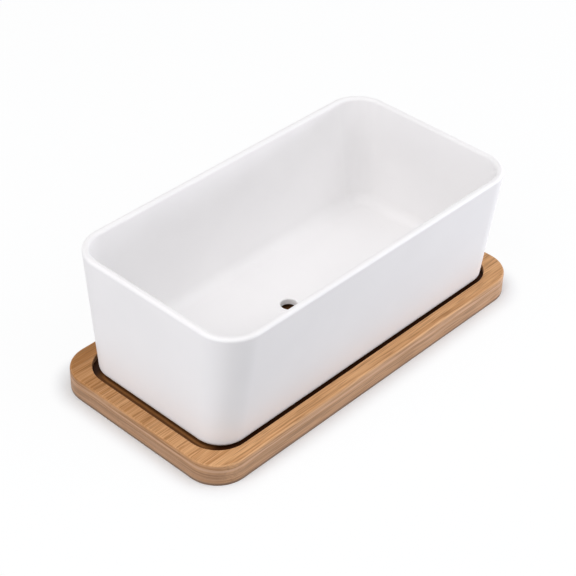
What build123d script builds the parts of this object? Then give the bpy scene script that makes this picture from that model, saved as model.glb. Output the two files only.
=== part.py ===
from build123d import *
import os

# Indoor herb planter: a glazed ceramic trough that stands loose in the recess of a bamboo tray.
# Millimetres, +Z up, +X along the length. The origin is under the middle of the tray, on the table.

# Tray: a board glued up from four layers of flat bamboo strips, then shaped as one block
TRAY_LENGTH = 282.4
TRAY_WIDTH = 141.8
TRAY_CORNER = 21.8
BOTTOM_LAYER = 4.4
THIRD_LAYER = 4.4
SECOND_LAYER = 2.6
TOP_LAYER = 4.2
STRIP_WIDTH = 20.0
TOP_EDGE_ROUND = 1.5
BOTTOM_EDGE_ROUND = 0.4

# Recess: cut through the top layer, so that its floor is the second layer
RECESS_LENGTH = 262.4
RECESS_WIDTH = 122.6
RECESS_CORNER = 21.6
RECESS_EDGE_ROUND = 0.5

# Pot: slip-cast trough whose long sides lean out further than its ends
RIM_LENGTH = 260.2
RIM_WIDTH = 138.6
RIM_CORNER = 24.0
BASE_LENGTH = 255.0
BASE_WIDTH = 117.2
BASE_CORNER = 18.5
BODY_HEIGHT = 86.2
WALL = 4.7
FLOOR = 4.8
COVE_RADIUS = 9.0
LIP_OUTER_ROUND = 2.2
LIP_INNER_ROUND = 2.0
BASE_ROUND = 2.0
DRAIN_DIAMETER = 11.0
DRAIN_ROUND = 0.9

# Foot ring: set in under the pot's edge, with a hollow inside it that keeps the floor's thickness
FOOT_INSET = 5.0
FOOT_WIDTH = 7.0
FOOT_HEIGHT = 1.4
FOOT_HOLLOW = 3.2
FOOT_ROUND = 0.6

# The pot stands towards the far corner of the recess, and its drain lies behind its own middle
POT_SHIFT_X = 2.3
POT_SHIFT_Y = 1.2
DRAIN_X = -1.0
DRAIN_Y = 6.0

LEVEL_TOLERANCE = 0.01

recess_floor = BOTTOM_LAYER + THIRD_LAYER + SECOND_LAYER
tray_height = recess_floor + TOP_LAYER
base_height = recess_floor + FOOT_HEIGHT
hollow_height = recess_floor + FOOT_HOLLOW
floor_height = hollow_height + FLOOR
rim_height = base_height + BODY_HEIGHT
os.makedirs("parts", exist_ok=True)


def save(part, name):
    """Label a finished piece and write it out."""
    part.label = name
    export_step(part, f"parts/{name}.step")


def pot_outline(height, inset=0.0):
    """The pot's rounded outline at a height above the table, drawn in by an inset."""
    rise = (height - base_height) / BODY_HEIGHT
    length = BASE_LENGTH + rise * (RIM_LENGTH - BASE_LENGTH)
    width = BASE_WIDTH + rise * (RIM_WIDTH - BASE_WIDTH)
    corner = BASE_CORNER + rise * (RIM_CORNER - BASE_CORNER)
    with BuildSketch(Plane((POT_SHIFT_X, POT_SHIFT_Y, height))) as outline:
        RectangleRounded(length - 2 * inset, width - 2 * inset, corner - inset)
    return outline.sketch


def edges_at(part, height):
    """The edges that lie level at a height above the table."""
    return part.edges().filter_by_position(Axis.Z, height - LEVEL_TOLERANCE, height + LEVEL_TOLERANCE)


# Ceramic pot: the outer form, its cavity with a coved floor, the rounded lip, the foot ring and the drain
with BuildPart() as pot:
    loft([pot_outline(base_height), pot_outline(rim_height)], ruled=True)
    fillet(edges_at(pot, base_height), BASE_ROUND)
    fillet(edges_at(pot, rim_height), LIP_OUTER_ROUND)
    loft([pot_outline(floor_height, WALL), pot_outline(rim_height, WALL)], ruled=True, mode=Mode.SUBTRACT)
    fillet(edges_at(pot, floor_height), COVE_RADIUS)
    lip = pot.faces().filter_by(Axis.Z).sort_by(Axis.Z)[-1]
    fillet(lip.inner_wires()[0].edges(), LIP_INNER_ROUND)
    extrude(pot_outline(recess_floor, FOOT_INSET), amount=FOOT_HEIGHT)
    extrude(pot_outline(recess_floor, FOOT_INSET + FOOT_WIDTH), amount=FOOT_HOLLOW, mode=Mode.SUBTRACT)
    fillet(edges_at(pot, recess_floor), FOOT_ROUND)
    fillet(edges_at(pot, hollow_height), FOOT_ROUND)
    with Locations((POT_SHIFT_X + DRAIN_X, POT_SHIFT_Y + DRAIN_Y, floor_height)):
        Hole(DRAIN_DIAMETER / 2, depth=FLOOR)
    drain_mouth = edges_at(pot, floor_height).filter_by(GeomType.CIRCLE)
    fillet(drain_mouth, DRAIN_ROUND)
save(pot.part, "ceramic_pot")

# Tray board: the glued block after shaping, with its edges eased and the recess cut
with BuildPart() as board:
    with BuildSketch():
        RectangleRounded(TRAY_LENGTH, TRAY_WIDTH, TRAY_CORNER)
    extrude(amount=tray_height)
    fillet(edges_at(board, tray_height), TOP_EDGE_ROUND)
    fillet(edges_at(board, 0), BOTTOM_EDGE_ROUND)
    with BuildSketch(Plane.XY.offset(recess_floor)):
        RectangleRounded(RECESS_LENGTH, RECESS_WIDTH, RECESS_CORNER)
    extrude(amount=TOP_LAYER, mode=Mode.SUBTRACT)
    fillet(board.faces().sort_by(Axis.Z)[-1].inner_wires()[0].edges(), RECESS_EDGE_ROUND)


def save_strip(name, bottom, thickness, x_span, y_span):
    """Cut one glued strip out of the board between two heights, and write it out."""
    with BuildPart() as strip:
        add(board.part)
        with BuildSketch(Plane.XY.offset(bottom)):
            with Locations((sum(x_span) / 2, sum(y_span) / 2)):
                Rectangle(x_span[1] - x_span[0], y_span[1] - y_span[0])
        extrude(amount=thickness, mode=Mode.INTERSECT)
    save(strip.part, name)


def glue_lines(count):
    """The y places of a layer's glue lines, evenly about the middle, between the board's two edges."""
    lines = [(place - (count - 1) / 2) * STRIP_WIDTH for place in range(count)]
    return [-TRAY_WIDTH / 2, *lines, TRAY_WIDTH / 2]


# The joints of each layer lie half a strip away from those of the layers above and below it
most_joints = int(TRAY_WIDTH // STRIP_WIDTH)
narrow_edge_lines = glue_lines(most_joints)
wide_edge_lines = glue_lines(most_joints - 1)
half_length = TRAY_LENGTH / 2
whole = (-half_length, half_length)

# Lower three layers: strips that run the whole length of the tray
lower_layers = [
    ("bottom_layer", 0.0, BOTTOM_LAYER, wide_edge_lines),
    ("third_layer", BOTTOM_LAYER, THIRD_LAYER, narrow_edge_lines),
    ("second_layer", BOTTOM_LAYER + THIRD_LAYER, SECOND_LAYER, wide_edge_lines),
]
for layer, bottom, thickness, lines in lower_layers:
    for number, y_span in enumerate(zip(lines, lines[1:]), start=1):
        save_strip(f"{layer}_strip_{number}", bottom, thickness, whole, y_span)

# Top layer: a whole strip along the front and the back, and short ends where the recess cuts the rest
save_strip("top_front_strip", recess_floor, TOP_LAYER, whole, narrow_edge_lines[:2])
save_strip("top_back_strip", recess_floor, TOP_LAYER, whole, narrow_edge_lines[-2:])
inner_lines = narrow_edge_lines[1:-1]
for side, x_span in (("left", (-half_length, 0)), ("right", (0, half_length))):
    for number, y_span in enumerate(zip(inner_lines, inner_lines[1:]), start=1):
        save_strip(f"top_{side}_end_{number}", recess_floor, TOP_LAYER, x_span, y_span)
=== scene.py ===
import math
import random
from contextlib import contextmanager

import bpy
from mathutils import Matrix, Vector


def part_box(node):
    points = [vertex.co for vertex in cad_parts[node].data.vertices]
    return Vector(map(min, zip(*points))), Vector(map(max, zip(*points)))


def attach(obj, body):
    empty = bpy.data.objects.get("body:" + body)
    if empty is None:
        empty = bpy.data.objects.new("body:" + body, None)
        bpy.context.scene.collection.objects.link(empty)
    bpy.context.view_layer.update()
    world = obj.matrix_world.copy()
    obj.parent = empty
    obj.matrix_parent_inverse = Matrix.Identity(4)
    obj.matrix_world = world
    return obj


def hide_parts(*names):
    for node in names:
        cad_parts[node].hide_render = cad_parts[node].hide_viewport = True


# Indoor herb planter: a white glazed ceramic trough that stands loose in the recess of a bamboo tray.
# Metres, +Z up, +X along the length. Heights, middles and the strips' limits are read from the frame.

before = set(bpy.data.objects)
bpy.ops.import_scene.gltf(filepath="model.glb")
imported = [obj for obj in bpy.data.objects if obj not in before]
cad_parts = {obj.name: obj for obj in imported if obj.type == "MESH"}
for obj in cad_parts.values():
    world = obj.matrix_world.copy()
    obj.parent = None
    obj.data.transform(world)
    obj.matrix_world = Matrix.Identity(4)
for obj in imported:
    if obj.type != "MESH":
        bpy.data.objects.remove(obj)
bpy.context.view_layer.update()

# Pot: the casting's outlines and roundings
RIM_LENGTH = 0.2602
RIM_WIDTH = 0.1386
RIM_CORNER = 0.0240
BASE_LENGTH = 0.2550
BASE_WIDTH = 0.1172
BASE_CORNER = 0.0185
WALL = 0.0047
POT_FLOOR = 0.0048
FOOT_INSET = 0.0050
FOOT_WIDTH = 0.0070
FOOT_HEIGHT = 0.0014
FOOT_HOLLOW = 0.0032
DRAIN_RADIUS = 0.0055
DRAIN_OFFSET = Vector((-0.0010, 0.0060, 0.0))
LIP_OUTER_ROUND = 0.0022
LIP_INNER_ROUND = 0.0020
COVE_ROUND = 0.0085
BASE_ROUND = 0.0020
FOOT_ROUND = 0.0006
DRAIN_UPPER_ROUND = 0.0009
DRAIN_LOWER_ROUND = 0.00045

# Tray: the shaped board that the strips are sawn from
TRAY_CORNER = 0.0218
RECESS_LENGTH = 0.2624
RECESS_WIDTH = 0.1226
RECESS_CORNER = 0.0216
TOP_EDGE_ROUND = 0.0015
BOTTOM_EDGE_ROUND = 0.0004
RECESS_EDGE_ROUND = 0.0005
STRIP_WIDTH = 0.0200
STRIP_ARRIS = 0.00004

# Modelling: fineness of round forms, distances for bridging and sawing, angles in degrees, and axes
CORNER_STEPS = 16
ROUND_STEPS = 8
HELD_APART = 0.01
SAW_THRESHOLD = 1e-6
SAW_TOLERANCE = 0.00004
ARRIS_ANGLE = 60.0
POT_SHARP_ANGLE = 60.0
STRIP_SHARP_ANGLE = 40.0
Y_AXIS = 1
Z_AXIS = 2

# Studio floor, which reaches a little way under the tray
FLOOR_SIZE = 8.0
FLOOR_CORNER = 2.0
FLOOR_OVERLAP = 0.0015

# Camera: the photograph's viewing angle, in degrees, and the point in the picture's middle
VIEW_AZIMUTH = -47.72
VIEW_ELEVATION = 37.51
VIEW_ROLL = 1.76
VIEW_DISTANCE = 1.0684
VIEW_AIM = Vector((-0.0049, 0.0029, 0.0379))
LENS = 105.4

# Frame: the places that the pieces are fitted to
pot_low, pot_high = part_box("ceramic_pot")
pot_middle = (pot_low + pot_high) / 2
drain_middle = pot_middle + DRAIN_OFFSET
foot_height = pot_low.z
rim_height = pot_high.z
base_height = foot_height + FOOT_HEIGHT
hollow_height = foot_height + FOOT_HOLLOW
floor_height = hollow_height + POT_FLOOR
strips = [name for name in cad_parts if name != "ceramic_pot"]
strip_boxes = {name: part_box(name) for name in strips}
tray_low = Vector([min(low[axis] for low, high in strip_boxes.values()) for axis in range(3)])
tray_high = Vector([max(high[axis] for low, high in strip_boxes.values()) for axis in range(3)])
tray_length = tray_high.x - tray_low.x
tray_width = tray_high.y - tray_low.y
tray_middle = (tray_low + tray_high) / 2
recess_floor = strip_boxes["top_front_strip"][0].z
third_layer_top = strip_boxes["third_layer_strip_1"][1].z


def only(*chosen):
    """Deselect everything, then select the chosen objects. The first becomes the active one."""
    bpy.ops.object.select_all(action="DESELECT")
    for item in chosen:
        item.select_set(True)
    bpy.context.view_layer.objects.active = chosen[0]


@contextmanager
def editing(piece, mode="VERT"):
    """Work on a piece in edit mode, with vertices, edges or faces to select."""
    only(piece)
    bpy.ops.object.mode_set(mode="EDIT")
    bpy.ops.mesh.select_mode(type=mode)
    yield
    bpy.ops.object.mode_set(mode="OBJECT")


def pick(piece, numbers):
    """Select the vertices with these numbers, and the edges and faces between them."""
    mesh = piece.data
    for vertex in mesh.vertices:
        vertex.select = vertex.index in numbers
    for part in [*mesh.edges, *mesh.polygons]:
        part.select = all(number in numbers for number in part.vertices)


def finish_modifier(piece, kind, **settings):
    """Add a modifier, set it and apply it."""
    only(piece)
    modifier = piece.modifiers.new(kind, kind)
    for name, value in settings.items():
        setattr(modifier, name, value)
    bpy.ops.object.modifier_apply(modifier=modifier.name)


def rounded_ring(middle, length, width, corner, height):
    """The edges of a rounded rectangle, level at a height."""
    bpy.ops.object.select_all(action="DESELECT")
    bpy.ops.mesh.primitive_plane_add(size=1.0)
    ring = bpy.context.active_object
    with editing(ring):
        bpy.ops.mesh.select_all(action="SELECT")
        bpy.ops.transform.resize(value=(length, width, 1.0))
        bpy.ops.mesh.bevel(offset=corner, segments=CORNER_STEPS, affect="VERTICES")
        bpy.ops.mesh.select_all(action="SELECT")
        bpy.ops.transform.translate(value=(middle.x, middle.y, height))
        bpy.ops.mesh.delete(type="ONLY_FACE")
    return ring


def round_ring(middle, radius, height):
    """The edges of a circle, level at a height, with as many points as a rounded rectangle has."""
    bpy.ops.object.select_all(action="DESELECT")
    bpy.ops.mesh.primitive_circle_add(vertices=4 * (CORNER_STEPS + 1), radius=radius)
    ring = bpy.context.active_object
    with editing(ring):
        bpy.ops.mesh.select_all(action="SELECT")
        bpy.ops.transform.translate(value=(middle.x, middle.y, height))
    return ring


def raise_ring(piece, numbers, rise):
    """Lift the vertices with these numbers."""
    pick(piece, numbers)
    with editing(piece):
        bpy.ops.transform.translate(value=(0.0, 0.0, rise))


def join_rings(name, rings):
    """Join rings into one piece. Returns it with the numbers of each ring's vertices."""
    piece = rings[0]
    size = len(piece.data.vertices)
    for ring in rings[1:]:
        only(piece, ring)
        bpy.ops.object.join()
    piece.name = name
    piece.data.name = name
    return piece, [set(range(place * size, (place + 1) * size)) for place in range(len(rings))]


def bridge(piece, first, second):
    """Bridge two rings, held apart meanwhile, because rings in one plane can be joined crosswise."""
    raise_ring(piece, second, HELD_APART)
    pick(piece, first | second)
    with editing(piece):
        bpy.ops.mesh.bridge_edge_loops()
    raise_ring(piece, second, -HELD_APART)


def skin(name, rings, rounds, closed):
    """Bridge a chain of rings, with end faces if it isn't closed, and round the edges at some of them."""
    piece, loops = join_rings(name, rings)
    pairs = list(zip(loops, loops[1:]))
    if closed:
        pairs.append((loops[-1], loops[0]))
    for first, second in pairs:
        bridge(piece, first, second)
    if not closed:
        for loop in (loops[0], loops[-1]):
            pick(piece, loop)
            with editing(piece):
                bpy.ops.mesh.edge_face_add()
    largest = max(rounds.values())
    for place, radius in rounds.items():
        pick(piece, loops[place])
        with editing(piece, "EDGE"):
            bpy.ops.transform.edge_bevelweight(value=radius / largest)
    with editing(piece):
        bpy.ops.mesh.select_all(action="SELECT")
        bpy.ops.mesh.normals_make_consistent(inside=False)
    finish_modifier(
        piece, "BEVEL", limit_method="WEIGHT", width=largest, segments=ROUND_STEPS, loop_slide=False
    )
    return piece


def smooth(piece, sharp_angle):
    """Shade a piece smooth up to an angle, with its broad faces kept flat."""
    only(piece)
    bpy.ops.object.shade_smooth_by_angle(angle=math.radians(sharp_angle))
    finish_modifier(piece, "WEIGHTED_NORMAL", keep_sharp=True)


def pot_ring(height, inset, lift=0.0):
    """The pot's outline at a height, drawn in by an inset, and lifted from that height."""
    rise = (height - base_height) / (rim_height - base_height)
    length = BASE_LENGTH + rise * (RIM_LENGTH - BASE_LENGTH)
    width = BASE_WIDTH + rise * (RIM_WIDTH - BASE_WIDTH)
    corner = BASE_CORNER + rise * (RIM_CORNER - BASE_CORNER)
    return rounded_ring(pot_middle, length - 2 * inset, width - 2 * inset, corner - inset, height + lift)


def model_pot():
    """The casting, from the drain's lower mouth over the foot, the wall and the lip back to the drain."""
    hollow_inset = FOOT_INSET + FOOT_WIDTH
    chain = [
        (round_ring(drain_middle, DRAIN_RADIUS, hollow_height), DRAIN_LOWER_ROUND),
        (pot_ring(foot_height, hollow_inset, FOOT_HOLLOW), FOOT_ROUND),
        (pot_ring(foot_height, hollow_inset), FOOT_ROUND),
        (pot_ring(foot_height, FOOT_INSET), FOOT_ROUND),
        (pot_ring(foot_height, FOOT_INSET, FOOT_HEIGHT), FOOT_ROUND),
        (pot_ring(base_height, 0.0), BASE_ROUND),
        (pot_ring(rim_height, 0.0), LIP_OUTER_ROUND),
        (pot_ring(rim_height, WALL), LIP_INNER_ROUND),
        (pot_ring(floor_height, WALL), COVE_ROUND),
        (round_ring(drain_middle, DRAIN_RADIUS, floor_height), DRAIN_UPPER_ROUND),
    ]
    rounds = {place: radius for place, (ring, radius) in enumerate(chain)}
    pot = skin("glazed_pot", [ring for ring, radius in chain], rounds, closed=True)
    smooth(pot, POT_SHARP_ANGLE)
    return pot


def tray_ring(height):
    """The tray's outline at a height."""
    return rounded_ring(tray_middle, tray_length, tray_width, TRAY_CORNER, height)


def recess_ring(height):
    """The outline of the tray's recess at a height."""
    return rounded_ring(tray_middle, RECESS_LENGTH, RECESS_WIDTH, RECESS_CORNER, height)


def model_slab():
    """The three lower layers of the board, in one block."""
    rings = [tray_ring(tray_low.z), tray_ring(recess_floor)]
    return skin("slab", rings, {0: BOTTOM_EDGE_ROUND}, closed=False)


def model_border():
    """The top layer of the board, in one piece round the recess."""
    rings = [
        tray_ring(recess_floor),
        tray_ring(tray_high.z),
        recess_ring(tray_high.z),
        recess_ring(recess_floor),
    ]
    return skin("border", rings, {1: TOP_EDGE_ROUND, 2: RECESS_EDGE_ROUND}, closed=True)


def saw(piece, place, direction):
    """Cut a piece at a plane, drop what lies in the plane's direction and close the cut."""
    with editing(piece):
        bpy.ops.mesh.select_all(action="SELECT")
        bpy.ops.mesh.bisect(
            plane_co=place, plane_no=direction, use_fill=True, clear_outer=True, threshold=SAW_THRESHOLD
        )


def saw_strip(block, node):
    """One strip of the board, sawn from a copy of its block at the limits of the node that it replaces."""
    low, high = strip_boxes[node]
    only(block)
    bpy.ops.object.duplicate()
    strip = bpy.context.active_object
    strip.name = f"bamboo_{node}"
    strip.data.name = strip.name
    for axis in (Y_AXIS, Z_AXIS):
        direction = Vector((0.0, 0.0, 0.0))
        direction[axis] = 1.0
        block_low = min(vertex.co[axis] for vertex in strip.data.vertices)
        block_high = max(vertex.co[axis] for vertex in strip.data.vertices)
        if high[axis] < block_high - SAW_TOLERANCE:
            saw(strip, high, direction)
        if low[axis] > block_low + SAW_TOLERANCE:
            saw(strip, low, -direction)
    # A short strip's other end, past the recess, is dropped
    if high.x < tray_middle.x:
        saw(strip, tray_middle, Vector((1.0, 0.0, 0.0)))
    if low.x > tray_middle.x:
        saw(strip, tray_middle, Vector((-1.0, 0.0, 0.0)))
    finish_modifier(
        strip,
        "BEVEL",
        limit_method="ANGLE",
        angle_limit=math.radians(ARRIS_ANGLE),
        width=STRIP_ARRIS,
        segments=1,
    )
    smooth(strip, STRIP_SHARP_ANGLE)
    return strip


class Shade:
    """A socket in a material's node tree. Arithmetic on shades adds Math nodes."""

    # Places of the colour sockets on a Mix node
    MIX_FIRST = 6
    MIX_SECOND = 7
    MIX_RESULT = 2

    def __init__(self, tree, socket=None):
        self.tree = tree
        self.socket = socket

    def node(self, kind, settings=None, sockets=None, output=0):
        """Add a node, set it, then give its sockets their values or links."""
        made = self.tree.nodes.new(kind)
        for name, value in (settings or {}).items():
            setattr(made, name, value)
        for name, value in (sockets or {}).items():
            if isinstance(value, Shade):
                self.tree.links.new(value.socket, made.inputs[name])
            else:
                made.inputs[name].default_value = value
        return Shade(self.tree, made.outputs[output] if made.outputs else None)

    def output(self, name):
        """Another output of the node that this shade comes from."""
        return Shade(self.tree, self.socket.node.outputs[name])

    def math(self, operation, *values):
        """A Math node on some values."""
        return self.node("ShaderNodeMath", {"operation": operation}, dict(enumerate(values)))

    def __add__(self, other):
        return self.math("ADD", self, other)

    def __radd__(self, other):
        return self.math("ADD", other, self)

    def __sub__(self, other):
        return self.math("SUBTRACT", self, other)

    def __rsub__(self, other):
        return self.math("SUBTRACT", other, self)

    def __mul__(self, other):
        return self.math("MULTIPLY", self, other)

    def __rmul__(self, other):
        return self.math("MULTIPLY", other, self)

    def __truediv__(self, other):
        return self.math("DIVIDE", self, other)

    def __rtruediv__(self, other):
        return self.math("DIVIDE", other, self)

    def __neg__(self):
        return self.math("MULTIPLY", self, -1.0)

    def __abs__(self):
        return self.math("ABSOLUTE", self)

    def larger(self, other):
        """The larger of this shade and another value."""
        return self.math("MAXIMUM", self, other)

    def smaller(self, other):
        """The smaller of this shade and another value."""
        return self.math("MINIMUM", self, other)

    def axis(self, name):
        """The X, Y or Z of this place or direction."""
        return self.node("ShaderNodeSeparateXYZ", sockets={0: self}, output=name)

    def attribute(self, name):
        """A number that the piece's own points carry."""
        return self.node("ShaderNodeAttribute", {"attribute_name": name}, output="Fac")

    def step(self, low, high):
        """0 below the low value and 1 above the high one, with a soft passage between them."""
        settings = {"interpolation_type": "SMOOTHSTEP", "clamp": True}
        sockets = {"Value": self, "From Min": low, "From Max": high}
        return self.node("ShaderNodeMapRange", settings, sockets)

    def within(self, near, far, depth=1.0):
        """The depth below the near value and 0 above the far one, with a soft passage between them."""
        return depth - depth * self.step(near, far)

    def blend(self, first, second):
        """A colour that goes from the first to the second as this shade goes from 0 to 1."""
        sockets = {0: self}
        for place, colour in ((self.MIX_FIRST, first), (self.MIX_SECOND, second)):
            sockets[place] = colour if isinstance(colour, Shade) else (*colour, 1.0)
        return self.node("ShaderNodeMix", {"data_type": "RGBA"}, sockets, self.MIX_RESULT)

    def noise(self, cell, seed=0.0, detail=2.0):
        """Cloudy noise on this place, with cells of a length, width and height."""
        scale = tuple(1.0 / size for size in cell)
        place = self.node("ShaderNodeMapping", sockets={"Vector": self, "Scale": scale})
        sockets = {"Vector": place, "W": seed, "Scale": 1.0, "Detail": detail}
        return self.node("ShaderNodeTexNoise", {"noise_dimensions": "4D"}, sockets)

    def bump(self, strength, distance):
        """A normal that follows this shade as relief."""
        sockets = {"Strength": strength, "Distance": distance, "Height": self}
        return self.node("ShaderNodeBump", sockets=sockets)


def new_material(name):
    """An empty material, with the object's own coordinates to build on."""
    material = bpy.data.materials.new(name)
    material.use_nodes = True
    tree = material.node_tree
    tree.nodes.clear()
    return material, Shade(tree).node("ShaderNodeTexCoord", output="Object")


def surface(place, shader):
    """Send a shader to the material's output."""
    place.node("ShaderNodeOutputMaterial", sockets={"Surface": shader})


def solid_surface(place, colour, roughness, normal, ior, gloss):
    """Send one opaque shader with these looks to the material's output."""
    sockets = {
        "Base Color": colour,
        "Roughness": roughness,
        "Normal": normal,
        "IOR": ior,
        "Specular IOR Level": gloss,
    }
    surface(place, place.node("ShaderNodeBsdfPrincipled", sockets=sockets))


# Noise: its middle value, and the spans that make a soft pattern and a crisp one
NOISE_MIDDLE = 0.5
SOFT_NOISE = (0.30, 0.70)
CRISP_NOISE = (0.36, 0.64)

# Glaze: tones of glaze and clay, cells of the noises, and heights over the foot where the clay ends
GLAZE_TONES = ((0.915, 0.909, 0.911), (0.935, 0.929, 0.930))
CLAY_TONES = ((0.56, 0.50, 0.42), (0.66, 0.60, 0.52))
CLOUD_CELL = (0.045, 0.045, 0.045)
RIPPLE_CELL = (0.012, 0.012, 0.012)
PEEL_CELL = (0.0016, 0.0016, 0.0016)
CLAY_LINE = (0.0007, 0.0011)
CLAY_LINE_WAVER = 0.0006
RIPPLE_SHARE = 0.9
PEEL_SHARE = 0.1
GLAZE_BUMP = 0.06
GLAZE_RELIEF = 0.0006
GLAZE_ROUGHNESS = 0.38
CLOUD_ROUGHNESS = 0.10
CLAY_ROUGHNESS = 0.45
GLAZE_IOR = 1.5
GLAZE_GLOSS = 0.35


def glaze_material():
    """White satin glaze, with a faint unevenness, and bare clay under the foot ring."""
    material, place = new_material("white_glaze")
    cloud = place.noise(CLOUD_CELL)
    ripple = place.noise(RIPPLE_CELL, detail=1.0)
    peel = place.noise(PEEL_CELL, detail=1.0)
    above_foot = place.axis("Z") - foot_height + CLAY_LINE_WAVER * ripple
    bare = above_foot.within(*CLAY_LINE)
    glaze = cloud.step(*SOFT_NOISE).blend(*GLAZE_TONES)
    colour = bare.blend(glaze, peel.blend(*CLAY_TONES))
    roughness = GLAZE_ROUGHNESS + CLOUD_ROUGHNESS * cloud + CLAY_ROUGHNESS * bare
    relief = RIPPLE_SHARE * ripple + PEEL_SHARE * peel
    solid_surface(place, colour, roughness, relief.bump(GLAZE_BUMP, GLAZE_RELIEF), GLAZE_IOR, GLAZE_GLOSS)
    return material


def level_distance(x, y):
    """The length of a level line, from its two parts."""
    return x.math("SQRT", x * x + y * y)


def beyond(place, length, width, corner):
    """The distance out of a rounded rectangle about the middle, negative inside it."""
    x_out = abs(place.axis("X")) - (length / 2 - corner)
    y_out = abs(place.axis("Y")) - (width / 2 - corner)
    corner_reach = level_distance(x_out.larger(0.0), y_out.larger(0.0))
    side_reach = x_out.larger(y_out).smaller(0.0)
    return corner_reach + side_reach - corner


# Bamboo: cells of the noises, along the board, across it and up, and seeds that keep them apart
BAND_CELL = (0.080, 0.0026, 0.0026)
FIBRE_CELL = (0.040, 0.0007, 0.0007)
BUNDLE_CELL = (0.020, 0.0009, 0.0009)
PLY_CELL = (0.060, 0.060, 0.0015)
LINE_CELL = (0.040, 0.040, 0.0008)
WAVE_CELL = (0.030, 0.030, 0.030)
BAND_SEED = 31.0
FIBRE_SEED = 17.0
BUNDLE_SEED = 53.0
LINE_SEED = 3.0
WAVE_SEED = 11.0
WAVE_LIFT = 0.0030

# Bamboo: spans of the bundles' noise, and of the direction that a face points in
BUNDLE_NOISE = (0.50, 0.64)
UPRIGHT = (0.15, 0.60)
END_GRAIN = (0.45, 0.80)

# Bamboo: shares of the looks in a strip's colour, and the glue between strips as near, far and depth
TONE_SHARE = 0.50
BAND_SHARE = 0.26
FIBRE_SHARE = 0.44
LEVEL_DROP = 0.10
DARK_SHARE = 0.55
BUNDLE_DEPTH = 0.42
STRIP_GLUE = (0.00005, 0.00022, 0.14)

# Bamboo sides: a painted sheen, a pale line and a glue line with near, far and depth, and fine wavy lines
SIDE_SHEEN_COLOUR = (0.560, 0.360, 0.230)
PALE_LINE_COLOUR = (0.740, 0.490, 0.335)
PALE_LINE_HEIGHT = 0.0112
PALE_LINE_WAVER = 0.0020
PALE_LINE = (0.0002, 0.0014, 0.70)
LAYER_GLUE_WAVER = 0.0016
LAYER_GLUE = (0.0003, 0.0012, 0.24)
FINE_LINE_COLOUR = (0.700, 0.455, 0.310)
FINE_PALE_NOISE = (0.38, 0.48)
FINE_DARK_NOISE = (0.52, 0.62)
FINE_LINE_DEPTH = 0.34
FINE_LINE_END_DEPTH = 0.14
END_SHADE_SPAN = (0.35, 0.75)
END_SHADE_TINT = (1.0, 0.95, 0.95)

# Painted on bamboo edges: a highlight on rounds, less on ends, and shade by the table as near, far and
# depth
EDGE_HIGHLIGHT_COLOUR = (0.720, 0.450, 0.260)
EDGE_HIGHLIGHT_FROM = (0.20, 0.55)
EDGE_HIGHLIGHT_TO = (0.80, 0.99)
EDGE_HIGHLIGHT_DEPTH = 0.24
EDGE_HIGHLIGHT_END_LOSS = 0.18
EDGE_HIGHLIGHT_END_SPAN = (0.45, 0.70)
CONTACT_SHADE_COLOUR = (0.190, 0.128, 0.088)
CONTACT_SHADE = (0.0012, 0.0024, 0.85)

# Bamboo surface: roughness and relief
FIBRE_ROUGHNESS = 0.16
BUNDLE_ROUGHNESS = 0.08
BAMBOO_ROUGHNESS = 0.36
BUNDLE_RELIEF = 0.5
BAMBOO_BUMP = 0.10
BAMBOO_RELIEF = 0.0003
BAMBOO_IOR = 1.47

# Painted shade in the recess: colours and unevenness, then spans of distance, with a depth where a mark has
# its own
RECESS_SHADE_COLOUR = (0.250, 0.096, 0.018)
DEEP_SHADE_COLOUR = (0.030, 0.008, 0.002)
RECESS_SHADE_DEPTH = 0.85
RECESS_SHADE_CELL = (0.014, 0.014, 0.014)
RECESS_SHADE_SEED = 7.0
WALL_UNEVENNESS = 0.0012
DRAIN_SHADE_UNEVENNESS = 0.012
BELOW_RECESS_FLOOR = (0.0001, 0.0003)
INSIDE_WALL = (-0.002, -0.001)
LONG_SIDE = (0.040, 0.052)
SHADE_BY_WALL = (0.011, 0.024)
SHADE_UNDER_DRAIN = (0.012, 0.032, 0.80)
DEEP_SHADE_BY_WALL = (0.0042, 0.0052, 0.60)
DEEP_SHADE_LONG_SIDE = (0.007, 0.012, 0.96)
DEEP_SHADE_UNDER_DRAIN = (0.008, 0.022, 0.54)
POT_EDGE = (0.0057, 0.0069)
DEEP_SHADE_UNDER_POT = (0.0074, 0.0140, 0.66)


class Board:
    """The places and directions on the board that the bamboo's looks are drawn by."""

    def __init__(self, place):
        facing = place.output("Normal")
        self.place = place
        self.height = place.axis("Z")
        self.upward = facing.axis("Z")
        self.endways = abs(facing.axis("X"))
        self.upright = abs(self.upward).within(*UPRIGHT)
        self.end_grain = self.endways.step(*END_GRAIN)
        self.waves = place.noise(WAVE_CELL, WAVE_SEED, detail=1.0)
        lift = place.node("ShaderNodeCombineXYZ", sockets={"Z": WAVE_LIFT * self.waves})
        self.wavy = place.node("ShaderNodeVectorMath", {"operation": "ADD"}, {0: place, 1: lift})

    def side_line(self, height, waver, line):
        """A soft line along the upright sides at a height, wavering up and down."""
        from_line = abs(self.height - height + waver * (self.waves - NOISE_MIDDLE))
        return self.upright * from_line.within(*line)


def strip_glue(board, joint_shift):
    """The glue joints between a layer's strips, each a whole strip's width from the next."""
    joint = board.place.axis("Y") / STRIP_WIDTH + joint_shift
    to_joint = abs(joint.math("FRACT", joint + 0.5) - 0.5) * STRIP_WIDTH
    return to_joint.within(*STRIP_GLUE)


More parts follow.
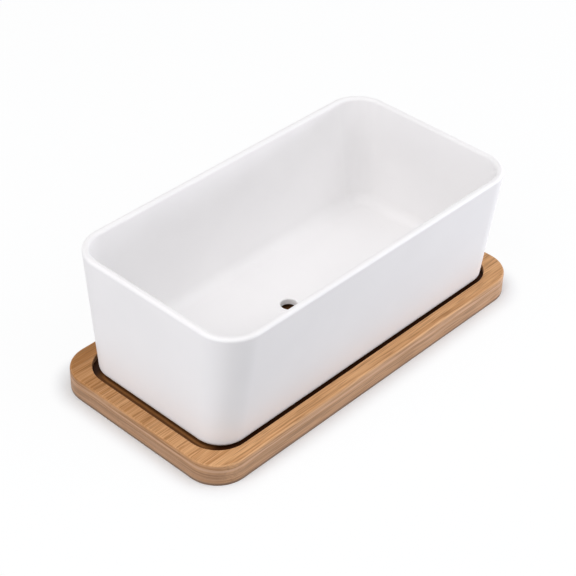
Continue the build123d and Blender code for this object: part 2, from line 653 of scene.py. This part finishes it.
def line_sides(board, wood, dark):
    """The board's upright sides, with a pale line, a glue line and fine wavy lines, pale and dark."""
    pale_line = board.side_line(PALE_LINE_HEIGHT, PALE_LINE_WAVER, PALE_LINE)
    wood = pale_line.blend(wood, PALE_LINE_COLOUR)
    layer_glue = board.side_line(third_layer_top, LAYER_GLUE_WAVER, LAYER_GLUE)
    wood = layer_glue.blend(wood, dark)
    lines = board.wavy.noise(LINE_CELL, LINE_SEED, detail=1.0)
    depth = board.upright * (FINE_LINE_DEPTH + FINE_LINE_END_DEPTH * board.end_grain)
    wood = (depth * lines.within(*FINE_PALE_NOISE)).blend(wood, FINE_LINE_COLOUR)
    return (depth * lines.step(*FINE_DARK_NOISE)).blend(wood, dark)


def paint_edge_light_and_shade(board, wood):
    """A painted highlight on the rounded edges, and painted shade along the sides by the table."""
    # A highlight painted on the rounded edges, less on the ends
    rounded = board.upward.step(*EDGE_HIGHLIGHT_FROM) * board.upward.within(*EDGE_HIGHLIGHT_TO)
    edge_highlight = rounded * (EDGE_HIGHLIGHT_DEPTH - EDGE_HIGHLIGHT_END_LOSS * board.endways.step(*EDGE_HIGHLIGHT_END_SPAN))
    wood = edge_highlight.blend(wood, EDGE_HIGHLIGHT_COLOUR)
    # Shade painted along the foot of the upright sides, where they meet the table
    return (board.upright * board.height.within(*CONTACT_SHADE)).blend(wood, CONTACT_SHADE_COLOUR)


def paint_recess_shade(board, wood):
    """The recess floor, with shade painted along the wall, under the pot's edge and under the drain."""
    place = board.place
    uneven = place.noise(RECESS_SHADE_CELL, RECESS_SHADE_SEED) - NOISE_MIDDLE
    outward = beyond(place, RECESS_LENGTH, RECESS_WIDTH, RECESS_CORNER)
    from_wall = -(outward + WALL_UNEVENNESS * uneven)
    x_drain = place.axis("X") - drain_middle.x
    y_drain = place.axis("Y") - drain_middle.y
    from_drain = level_distance(x_drain, y_drain) + DRAIN_SHADE_UNEVENNESS * uneven
    on_top = (recess_floor - board.height).within(*BELOW_RECESS_FLOOR)
    on_floor = on_top * from_wall.step(*INSIDE_WALL)

    # Shade painted on the recess floor along the wall and under the drain
    recess_shade = from_wall.within(*SHADE_BY_WALL).larger(from_drain.within(*SHADE_UNDER_DRAIN))
    wood = (RECESS_SHADE_DEPTH * on_floor * recess_shade).blend(wood, RECESS_SHADE_COLOUR)
    # Deeper shade painted by the wall, along the long sides, under the pot's edge and under the drain
    deep_shade_side = abs(place.axis("Y")).step(*LONG_SIDE) * from_wall.within(*DEEP_SHADE_LONG_SIDE)
    shade_under_pot = from_wall.step(*POT_EDGE) * from_wall.within(*DEEP_SHADE_UNDER_POT)
    deep_shade_rim = from_wall.within(*DEEP_SHADE_BY_WALL).larger(deep_shade_side).larger(shade_under_pot)
    deep_shade = deep_shade_rim.larger(from_drain.within(*DEEP_SHADE_UNDER_DRAIN))
    return (on_floor * deep_shade).blend(wood, DEEP_SHADE_COLOUR)


def bamboo_material(layer, slot, pale, deep, joint_shift, end_shade, side_sheen, gloss, recess_shade):
    """Oiled bamboo for a layer: fibres, dark bundles, a tone for each strip, lined sides, and painted
    sheen, highlights and shade.
    """
    material, place = new_material(f"{layer}_{slot}")
    board = Board(place)
    seed = place.attribute("strip_seed")
    tone = place.attribute("strip_tone")
    streak = place.noise(BAND_CELL, BAND_SEED * seed).step(*SOFT_NOISE)
    fibres = place.noise(FIBRE_CELL, FIBRE_SEED * seed)
    along = fibres.step(*CRISP_NOISE)
    across = board.wavy.noise(PLY_CELL, detail=1.0).step(*CRISP_NOISE)
    fibre = along + board.end_grain * (across - along)
    bundles = place.noise(BUNDLE_CELL, BUNDLE_SEED * seed, detail=1.0)
    dashes = bundles.step(*BUNDLE_NOISE) * (1.0 - board.end_grain)

    dark = tuple(DARK_SHARE * value for value in deep)
    end_dark = tuple(share * value for share, value in zip(END_SHADE_TINT, dark))
    level = TONE_SHARE * tone + BAND_SHARE * streak + FIBRE_SHARE * fibre - LEVEL_DROP
    wood = level.blend(deep, pale)
    wood = (BUNDLE_DEPTH * dashes).blend(wood, dark)
    wood = strip_glue(board, joint_shift).blend(wood, dark)
    # A sheen painted on the upright sides, greying their colour
    wood = (side_sheen * board.upright).blend(wood, SIDE_SHEEN_COLOUR)
    wood = line_sides(board, wood, dark)
    wood = (end_shade * board.endways.step(*END_SHADE_SPAN)).blend(wood, end_dark)
    wood = paint_edge_light_and_shade(board, wood)
    # The recess floor, on the second layer, gets painted shade
    if recess_shade:
        wood = paint_recess_shade(board, wood)

    roughness = BAMBOO_ROUGHNESS + FIBRE_ROUGHNESS * fibres + BUNDLE_ROUGHNESS * dashes
    relief = fibres - BUNDLE_RELIEF * dashes
    solid_surface(place, wood, roughness, relief.bump(BAMBOO_BUMP, BAMBOO_RELIEF), BAMBOO_IOR, gloss)
    return material


# Studio colours: the floor and the surround as the planter is lit by them, and as they are seen
WHITE = (1.0, 1.0, 1.0)
FLOOR_LIT_COLOUR = (0.30, 0.30, 0.30)
FLOOR_SEEN_COLOUR = (0.950, 0.985, 1.0)
FLOOR_WHITENESS = 0.92
FLOOR_SHADOW_FADE = (0.0, 0.015)
WORLD_COLOUR = (0.975, 0.970, 1.0)
WORLD_LEVEL = 0.50


def view_rays(place):
    """1 for rays that show a surface to the camera, straight or by way of gloss or glass."""
    path = place.node("ShaderNodeLightPath", output="Is Camera Ray")
    seen = path + path.output("Is Glossy Ray") + path.output("Is Transmission Ray")
    return seen.smaller(1.0)


def lay_floor():
    """A white studio floor that keeps a soft shadow, open under the tray for views from below."""
    opening = rounded_ring(
        tray_middle,
        tray_length - 2 * FLOOR_OVERLAP,
        tray_width - 2 * FLOOR_OVERLAP,
        TRAY_CORNER - FLOOR_OVERLAP,
        tray_low.z,
    )
    edge = rounded_ring(tray_middle, FLOOR_SIZE, FLOOR_SIZE, FLOOR_CORNER, tray_low.z)
    floor, (inner, outer) = join_rings("studio_floor", [opening, edge])
    bridge(floor, inner, outer)
    material, place = new_material("studio_floor")
    seen = view_rays(place)
    tone = seen.blend(FLOOR_LIT_COLOUR, FLOOR_SEEN_COLOUR)
    lit = place.node("ShaderNodeBsdfDiffuse", sockets={"Color": tone})
    white = place.node("ShaderNodeEmission", sockets={"Color": (*WHITE, 1.0), "Strength": 1.0})
    clear = beyond(place, tray_length, tray_width, TRAY_CORNER).step(*FLOOR_SHADOW_FADE)
    share = FLOOR_WHITENESS * seen * clear
    surface(place, place.node("ShaderNodeMixShader", sockets={0: share, 1: lit, 2: white}))
    floor.data.materials.append(material)


def light_world():
    """An even white surround, seen as plain white."""
    world = bpy.data.worlds.new("studio_world")
    bpy.context.scene.world = world
    world.use_nodes = True
    tree = world.node_tree
    tree.nodes.clear()
    start = Shade(tree)
    seen = view_rays(start)
    strength = WORLD_LEVEL + (1.0 - WORLD_LEVEL) * seen
    sockets = {"Color": seen.blend(WORLD_COLOUR, WHITE), "Strength": strength}
    shader = start.node("ShaderNodeBackground", sockets=sockets)
    start.node("ShaderNodeOutputWorld", sockets={"Surface": shader})


def hang_lamp(name, place, size, power, colour):
    """A soft lamp that faces the middle of the tray, and isn't seen itself."""
    lamp = bpy.data.lights.new(name, "AREA")
    lamp.shape = "RECTANGLE"
    lamp.size, lamp.size_y = size
    lamp.energy = power
    lamp.color = colour
    holder = bpy.data.objects.new(name, lamp)
    holder.visible_camera = False
    holder.location = place
    holder.rotation_euler = (tray_middle - Vector(place)).to_track_quat("-Z", "Y").to_euler()
    bpy.context.scene.collection.objects.link(holder)


def place_camera():
    """The camera at the photograph's viewing angle."""
    turn = Matrix.Rotation(math.radians(VIEW_AZIMUTH), 3, "Z")
    tilt = Matrix.Rotation(math.radians(90.0 - VIEW_ELEVATION), 3, "X")
    roll = Matrix.Rotation(math.radians(VIEW_ROLL), 3, "Z")
    lean = turn @ tilt @ roll
    data = bpy.data.cameras.new("camera")
    data.lens = LENS
    camera = bpy.data.objects.new("camera", data)
    camera.rotation_euler = lean.to_euler()
    camera.location = VIEW_AIM + VIEW_DISTANCE * lean.col[2]
    bpy.context.scene.collection.objects.link(camera)
    bpy.context.scene.camera = camera


# Strip tones, from deep at 0 to pale at 1, given for the strips that the photograph shows best
FRONT_TONE = 0.84
BACK_TONE = -0.25
LEFT_END_TONE = 0.82
LEFT_END_FALL = 0.13
RIGHT_END_TONE = 0.36
LOWER_TONE = 0.20
CHANCE_SHARE = 0.60
CHANCE_SEED = 5


def strip_tone(node, chance_tone):
    """How pale a strip is. The left end's strips deepen from the pale front strip to the back one."""
    if node == "top_front_strip":
        return FRONT_TONE
    if node == "top_back_strip":
        return BACK_TONE
    if node.startswith("top_left_end"):
        return LEFT_END_TONE - LEFT_END_FALL * int(node.split("_")[-1])
    if node.startswith("top_right_end"):
        return RIGHT_END_TONE + CHANCE_SHARE * chance_tone
    return LOWER_TONE + CHANCE_SHARE * chance_tone


# Pot
pot = model_pot()
pot.data.materials.append(glaze_material())
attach(pot, "pot")
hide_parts("ceramic_pot")

# Tray: each layer's finish, by the first word of its strips' names
layers = {
    "top": dict(
        slot="bamboo_face", pale=(0.725, 0.410, 0.195), deep=(0.375, 0.158, 0.040),
        joint_shift=0.0, end_shade=0.24, side_sheen=0.35, gloss=0.25, recess_shade=False,
    ),
    "second": dict(
        slot="bamboo_pale", pale=(0.705, 0.415, 0.235), deep=(0.520, 0.298, 0.160),
        joint_shift=0.5, end_shade=0.24, side_sheen=0.0, gloss=0.1, recess_shade=True,
    ),
    "third": dict(
        slot="bamboo_edge", pale=(0.690, 0.405, 0.228), deep=(0.460, 0.265, 0.143),
        joint_shift=0.0, end_shade=0.50, side_sheen=0.0, gloss=0.25, recess_shade=False,
    ),
    "bottom": dict(
        slot="bamboo_edge", pale=(0.665, 0.385, 0.212), deep=(0.440, 0.250, 0.135),
        joint_shift=0.5, end_shade=0.36, side_sheen=0.0, gloss=0.25, recess_shade=False,
    ),
}
finishes = {layer: bamboo_material(layer, **look) for layer, look in layers.items()}
slab = model_slab()
border = model_border()
chance = random.Random(CHANCE_SEED)
for node in sorted(strips):
    layer = node.split("_")[0]
    strip = saw_strip(border if layer == "top" else slab, node)
    looks = {"strip_seed": chance.random(), "strip_tone": strip_tone(node, chance.random())}
    for look, value in looks.items():
        attribute = strip.data.attributes.new(look, "FLOAT", "POINT")
        attribute.data.foreach_set("value", [value] * len(strip.data.vertices))
    strip.data.materials.append(finishes[layer])
    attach(strip, "tray")
    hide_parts(node)
for block in (slab, border):
    bpy.data.objects.remove(block)

# Studio
lay_floor()
light_world()
hang_lamp("top_softbox", (0.10, 0.50, 1.70), size=(1.0, 1.0), power=1.7, colour=(1.0, 0.985, 0.970))
hang_lamp("left_softbox", (-1.121, 0.098, 1.340), size=(1.2, 1.2), power=9.8, colour=(1.0, 0.968, 0.948))
hang_lamp("front_softbox", (0.563, -0.975, 1.340), size=(1.2, 1.2), power=7.7, colour=(0.99, 0.985, 0.995))
hang_lamp("left_card", (-0.897, -0.078, 0.10), size=(0.8, 0.2), power=2.0, colour=(0.93, 0.940, 1.0))
hang_lamp("right_card", (0.719, -0.542, 0.10), size=(0.8, 0.2), power=4.05, colour=(0.91, 0.920, 1.0))
place_camera()
bpy.context.scene.view_settings.view_transform = "Standard"
